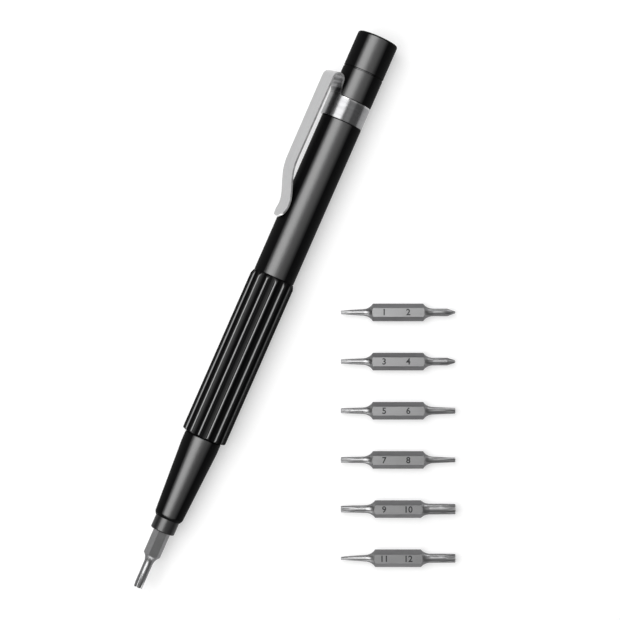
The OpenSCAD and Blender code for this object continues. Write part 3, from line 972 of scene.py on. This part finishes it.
@dataclass
class PocketClip(Assembly):
    """The clip: one strip of spring steel, from the band on the neck over the crown to the arm."""

    strip_t: float = 0.5
    stretch: float = 0.55
    root_half_turn: float = 35.0
    turn_slack: float = 0.1
    width: float = 5.8
    end_width: float = 5.2
    least_width: float = 0.06
    crown_rise: float = 5.2
    gap: float = 3.3
    straight_len: float = 21.6
    soft_lead: float = 2.6
    soft_power: float = 1.3
    touch_len: float = 31.5
    length: float = 35.2
    flare: float = 0.21
    curl: float = 0.9
    root_flare: float = 0.35
    fillet_share: float = 0.14
    face_gap: float = 0.03
    ring_steps: int = 144
    riser_steps: int = 9
    riser_power: float = 1.6
    crown_steps: int = 20
    arm_steps: int = 60
    edge_round: float = 0.23
    round_segments: int = 4
    rim_angle: float = 1.0
    rim_row: float = 0.45
    bend_from: float = 6.9
    bend_to: float = 8.9
    bend_slope: float = 0.1

    @property
    def riser_x(self) -> float:
        """Distance of the strip's middle from the axis at the band."""
        return PEN.barrel_r + self.stretch - self.strip_t / 2

    @property
    def arm_x(self) -> float:
        """Distance of the strip's middle from the axis along the straight arm."""
        return PEN.barrel_r + self.gap + self.strip_t / 2

    @property
    def crown_r(self) -> float:
        """Bend radius of the crown at the strip's middle."""
        return (self.arm_x - self.riser_x - self.flare) / 2

    @property
    def crown_y(self) -> float:
        """Place along the pen where the crown's bend starts."""
        return PEN.tail_y + self.crown_rise - self.crown_r - self.strip_t / 2

    def arm_path(self, drop: float) -> float:
        """The way of the arm.

        Args:
            drop: Distance below the band's top.

        Returns:
            Distance of the arm's middle from the axis.
        """
        touch_x = PEN.barrel_r + PEN.fit + self.strip_t / 2
        if drop < self.touch_len:
            lead = self.straight_len - self.soft_lead
            share = clamp01((drop - lead) / (self.touch_len - lead))
            return mix(self.arm_x, touch_x, ease(share ** self.soft_power))
        past = (drop - self.touch_len) / (self.length - self.touch_len)
        return touch_x + self.curl * past ** 2

    def stations(self) -> list[tuple[float, float, float, float, float]]:
        """Stations of the strip from the band to its end.

        Returns:
            Distance from the axis, place along the pen, width, share of the band's curve, and
            turn of the strip.
        """
        found = []
        rise = self.crown_y - PEN.tail_y
        root_w = 2 * PEN.barrel_r * math.sin(math.radians(self.root_half_turn))
        for step in range(1, self.riser_steps + 1):
            share = (step / self.riser_steps) ** self.riser_power
            fillet = self.root_flare * (1 - clamp01(share / self.fillet_share)) ** 2
            width = mix(root_w - 2 * self.root_flare, self.width, ease(share)) + 2 * fillet
            x = self.riser_x + self.flare * ease(share)
            found.append((x, PEN.tail_y + rise * share, width, 1 - ease(share), 0.0))
        for step in range(1, self.crown_steps + 1):
            turn = math.pi * step / self.crown_steps
            x = self.riser_x + self.flare + self.crown_r * (1 - math.cos(turn))
            along = self.crown_y + self.crown_r * math.sin(turn)
            found.append((x, along, self.width, 0.0, turn))
        reach = self.strip_t / 2
        half = self.end_width / 2
        for step in range(1, self.arm_steps + 1):
            share = 1 - (1 - step / self.arm_steps) ** 2
            drop = mix(-rise, self.length, share)
            tip = clamp01((drop - self.length + half) / half)
            width = mix(self.width, self.end_width, clamp01(drop / self.touch_len))
            width *= max(self.least_width, math.sqrt(1 - tip * tip))
            slope = (self.arm_path(drop + reach) - self.arm_path(drop - reach)) / self.strip_t
            turn = math.pi - math.atan(slope)
            found.append((self.arm_path(drop), PEN.tail_y - drop, width, 0.0, turn))
        return found

    def sheet(self, made: BMesh) -> None:
        """Draws the strip's face that looks away from the axis at the band, as one sheet.

        Args:
            made: The mesh to draw in.
        """
        bottom = PEN.band_y + self.face_gap
        top = PEN.tail_y - self.face_gap
        ring = bmesh.ops.create_circle(
            made, cap_ends=False, radius=PEN.barrel_r, segments=self.ring_steps,
        )["verts"]
        for vert in ring:
            turn = math.degrees(math.atan2(vert.co.y, vert.co.x))
            stretch = self.stretch if abs(turn) < 90.0 - self.turn_slack else 0.0
            vert.co = (vert.co.x + stretch, vert.co.y, bottom)
        rim = made.edges[:]
        for height in (bottom + self.rim_row, (bottom + top) / 2, top - self.rim_row, top):
            rim, ring = extrude_rim(made, rim)
            for vert in ring:
                vert.co.z = height
        root_turn = math.radians(self.root_half_turn + self.turn_slack)
        root_x = self.stretch + PEN.barrel_r * math.cos(root_turn)
        rim = [edge for edge in rim if all(vert.co.x > root_x for vert in edge.verts)]
        for x, along, width, curve, turn in self.stations():
            rim, ring = extrude_rim(made, rim)
            old_half = max(abs(vert.co.y) for vert in ring)
            face_x = x + math.cos(turn) * self.strip_t / 2
            face_z = along - math.sin(turn) * self.strip_t / 2
            for vert in ring:
                y = vert.co.y / old_half * width / 2
                drop = curve * (PEN.barrel_r - math.sqrt(PEN.barrel_r ** 2 - y * y))
                vert.co = (face_x - drop, y, face_z)

    def mesh(self) -> BMesh:
        """Gives the sheet its thickness, rounds its edges and parts its finishes.

        Returns:
            The closed mesh, with finish 1 on the band, 2, with painted reflection streaks, on the
            riser and 0 on the arm.
        """
        made = bmesh.new()
        self.sheet(made)
        face_out(made)
        wide = [face for face in made.faces if face.calc_area() > 0]
        if sum(face.normal.x * face.calc_center_median().x for face in wide) < 0:
            bmesh.ops.reverse_faces(made, faces=made.faces[:])
        bmesh.ops.solidify(made, geom=made.faces[:], thickness=-self.strip_t)
        face_out(made)
        folded = [edge for edge in made.edges if len(edge.link_faces) == 2]
        rims = [edge for edge in folded if edge.calc_face_angle() > self.rim_angle]
        round_edges(made, rims, self.edge_round, self.round_segments)
        for face in made.faces:
            middle = face.calc_center_median()
            if middle.x < self.riser_x + self.crown_r and middle.z > PEN.band_y:
                face.material_index = 2 if middle.z > PEN.tail_y else 1
        return made

    def build(self) -> Pieces:
        """Makes the clip, which bends between the band's body and the arm's.

        Returns:
            The clip alone.
        """
        piece = finish_mesh(self.mesh(), "clip_strip")
        built = self.finishes
        for material in (built.by_slot[Slot.CLIP], built.clip_root, built.clip_bend_painted_streaks):
            piece.data.materials.append(material)
        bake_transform(piece)
        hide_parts("clip_band", "clip_arm")
        return [piece]


# The loose bits' marks


@dataclass
class LooseBits(Assembly):
    """The six loose bits, and the plain number at each end of their top flats."""

    hex_af: float = 4.0
    bit_len: float = 30.0
    first: Pair = (33.5, 92.8)
    pitch: float = 12.9
    digit_h: float = 1.65
    digit_share: float = 0.72
    digit_weight: float = 0.05
    digit_depth: float = 0.02
    digit_proud: float = 0.004
    mark_places: Pair = (11.3, 17.6)
    names: tuple[str, ...] = (
        "lobe2_wing", "lobe3_cross", "lobe4_star15", "lobe5_star12", "lobe6_lobe10", "star08_lobe8",
    )

    def place(self, row: int, along: float) -> Matrix:
        """The place of a mark on a bit's top flat.

        Args:
            row: Which bit, from the top one.
            along: Distance from the bit's left tip in millimetres.

        Returns:
            From the mark's millimetres to the frame.
        """
        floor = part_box("spare_" + self.names[row])[0][2]
        turn = Matrix.Rotation(math.radians(LEVEL_TURN), 4, "Z")
        shift = turn @ Vector((along - self.bit_len / 2, -row * self.pitch, 0.0))
        top = floor / MM + self.hex_af + self.digit_proud - self.digit_depth / 2
        spot = Vector((self.first[0] + shift.x, self.first[1] + shift.y, top))
        return Matrix.Scale(MM, 4) @ Matrix.Translation(spot) @ turn

    def number_mesh(self, words: str, place: Matrix) -> Mesh:
        """A plain number as a thin mesh, laid in its place.

        Args:
            words: The digits.
            place: From the number's millimetres to the frame.

        Returns:
            The mesh.
        """
        curve = bpy.data.curves.new("number", "FONT")
        curve.body = words
        curve.size = self.digit_h / self.digit_share
        curve.align_x = curve.align_y = "CENTER"
        curve.extrude = self.digit_depth / 2
        curve.offset = self.digit_weight
        curve.resolution_u = 4
        letters = link_object("number", curve)
        graph = bpy.context.evaluated_depsgraph_get()
        data = bpy.data.meshes.new_from_object(letters.evaluated_get(graph))
        bpy.data.objects.remove(letters)
        bpy.data.curves.remove(curve)
        data.transform(place)
        return data

    def build(self) -> Pieces:
        """Makes the numbers.

        Returns:
            One piece for each bit.
        """
        made = []
        for row, name in enumerate(self.names):
            joined = bmesh.new()
            for end, along in enumerate(self.mark_places):
                data = self.number_mesh(str(2 * row + end + 1), self.place(row, along))
                joined.from_mesh(data)
                bpy.data.meshes.remove(data)
            piece = link_object("marks_" + name, mesh_data(joined, "marks_" + name))
            piece.data.materials.append(self.finishes.mark)
            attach(piece, "bit_" + name)
            made.append(piece)
        return made


@dataclass
class CadDress(Assembly):
    """Finishes of the CAD nodes that stay as they are."""

    slots: dict[str, Slot] = field(default_factory=lambda: {
        "bit_holder": Slot.HOLDER,
        "driver_bit": Slot.BIT,
        "socket_magnet": Slot.MAGNET,
        "magnet_plug": Slot.PLUG,
        "store_pad": Slot.PAD,
        "tail_pad": Slot.PAD,
        "swivel_bush": Slot.BUSH,
        "thrust_washer": Slot.WASHER,
        "swivel_screw": Slot.PLUG,
        **{"spare_" + name: Slot.BIT for name in LooseBits.names},
    })

    def build(self) -> Pieces:
        """Gives each kept node its finish.

        Returns:
            The nodes.
        """
        kept = []
        for node, slot in self.slots.items():
            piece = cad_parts[node]
            piece.material_slots[0].material = self.finishes.by_slot[slot]
            kept.append(piece)
        return kept


# The studio


@dataclass
class SoftBox:
    """A soft lamp that looks at a point of the object."""

    name: str
    away: Point
    width: float
    height: float
    power: float

    def build(self, target: Vector) -> None:
        """Hangs the lamp and turns it to the target.

        Args:
            target: The point that it looks at.
        """
        lamp = bpy.data.lights.new(self.name, "AREA")
        lamp.shape = "RECTANGLE"
        lamp.size = self.width
        lamp.size_y = self.height
        lamp.energy = self.power
        holder = link_object(self.name, lamp)
        holder.location = target + Vector(self.away)
        back = Vector(self.away).normalized()
        side = Vector((0.0, 1.0, 0.0)).cross(back).normalized()
        holder.rotation_euler = Matrix((side, back.cross(side), back)).transposed().to_euler()
        holder.visible_camera = False


@dataclass
class Studio:
    """The floor, the lamps, the world and the camera over the object."""

    centre: Pair = (12.1, 84.1)
    camera_height: float = 520.0
    view_width: float = 161.5
    sensor: float = 36.0
    near_limit: float = 0.01
    floor_size: float = 12.0
    floor_gap: float = 0.00001
    floor_colour: Colour = (0.62, 0.62, 0.62)
    floor_glow: float = 0.42
    world_level: float = 0.18
    lamps: tuple[SoftBox, ...] = field(default_factory=lambda: (
        SoftBox("key_box", (-0.244, 0.0, 0.548), 0.50, 0.75, 4.4),
        SoftBox("fill_box", (0.285, 0.20, 0.52), 0.36, 0.50, 0.26),
        SoftBox("tip_box", (0.0, -0.60, 0.12), 0.60, 0.16, 0.9),
        SoftBox("cap_box", (0.0, 0.60, 0.12), 0.60, 0.16, 0.9),
    ))

    def build_floor(self) -> None:
        """Lays the pale floor that the object lies on."""
        made = bmesh.new()
        bmesh.ops.create_grid(made, x_segments=1, y_segments=1, size=self.floor_size / 2)
        data = mesh_data(made, "floor")
        data.transform(Matrix.Translation((0.0, 0.0, CAD_BOX[0].z - self.floor_gap)))
        data.materials.append(self.floor_material())
        floor = link_object("floor", data)

    def floor_material(self) -> Material:
        """A pale matt floor that shows white to the eye and in reflections, and keeps shadows.

        Returns:
            The material.
        """
        material = bpy.data.materials.new("pale_floor")
        material.use_nodes = True
        sheet = NodeSheet(material.node_tree)
        sheet.tree.nodes.clear()
        path = sheet.add("ShaderNodeLightPath").outputs
        seen = sheet.math("MAXIMUM", path["Is Camera Ray"], path["Is Glossy Ray"])
        seen = sheet.math("MAXIMUM", seen, path["Is Transmission Ray"])
        strength = sheet.math("MULTIPLY", seen, self.floor_glow)
        glow = sheet.add("ShaderNodeEmission", {"Strength": strength})
        matt = sheet.add("ShaderNodeBsdfDiffuse", {"Color": (*self.floor_colour, 1.0)})
        both = sheet.add("ShaderNodeAddShader", {0: matt.outputs[0], 1: glow.outputs[0]})
        sheet.add("ShaderNodeOutputMaterial", {"Surface": both.outputs[0]})
        return material

    def build_world(self) -> None:
        """Sets a dim even light all round."""
        world = bpy.data.worlds.new("studio")
        world.use_nodes = True
        back = world.node_tree.nodes["Background"].inputs
        back["Color"].default_value = (1.0, 1.0, 1.0, 1.0)
        back["Strength"].default_value = self.world_level
        bpy.context.scene.world = world

    def build_camera(self) -> None:
        """Hangs the camera straight above the object, turned as the photograph is."""
        data = bpy.data.cameras.new("camera")
        data.sensor_width = self.sensor
        data.lens = self.sensor * self.camera_height / self.view_width
        data.clip_start = self.near_limit
        camera = link_object("camera", data)
        camera.location = (self.centre[0] * MM, self.centre[1] * MM, self.camera_height * MM)
        camera.rotation_euler = (0.0, 0.0, math.radians(LEVEL_TURN))
        bpy.context.scene.camera = camera

    def build(self) -> None:
        """Sets up the whole studio."""
        self.build_floor()
        self.build_world()
        self.build_camera()
        target = Vector((self.centre[0] * MM, self.centre[1] * MM, 0.0))
        for lamp in self.lamps:
            lamp.build(target)
        bpy.context.scene.view_settings.view_transform = "Standard"


def main() -> None:
    """Builds the studio and every piece in order."""
    logging.basicConfig(level=logging.INFO, format="%(message)s")
    Studio().build()
    finishes = Finishes()
    for assembly in (TurnedBody, GripSleeve, PocketClip, LooseBits, CadDress):
        for piece in assembly(finishes).build():
            LOG.info("%s: %s, %d faces", assembly.__name__, piece.name, len(piece.data.polygons))


if __name__ == "__main__":
    main()
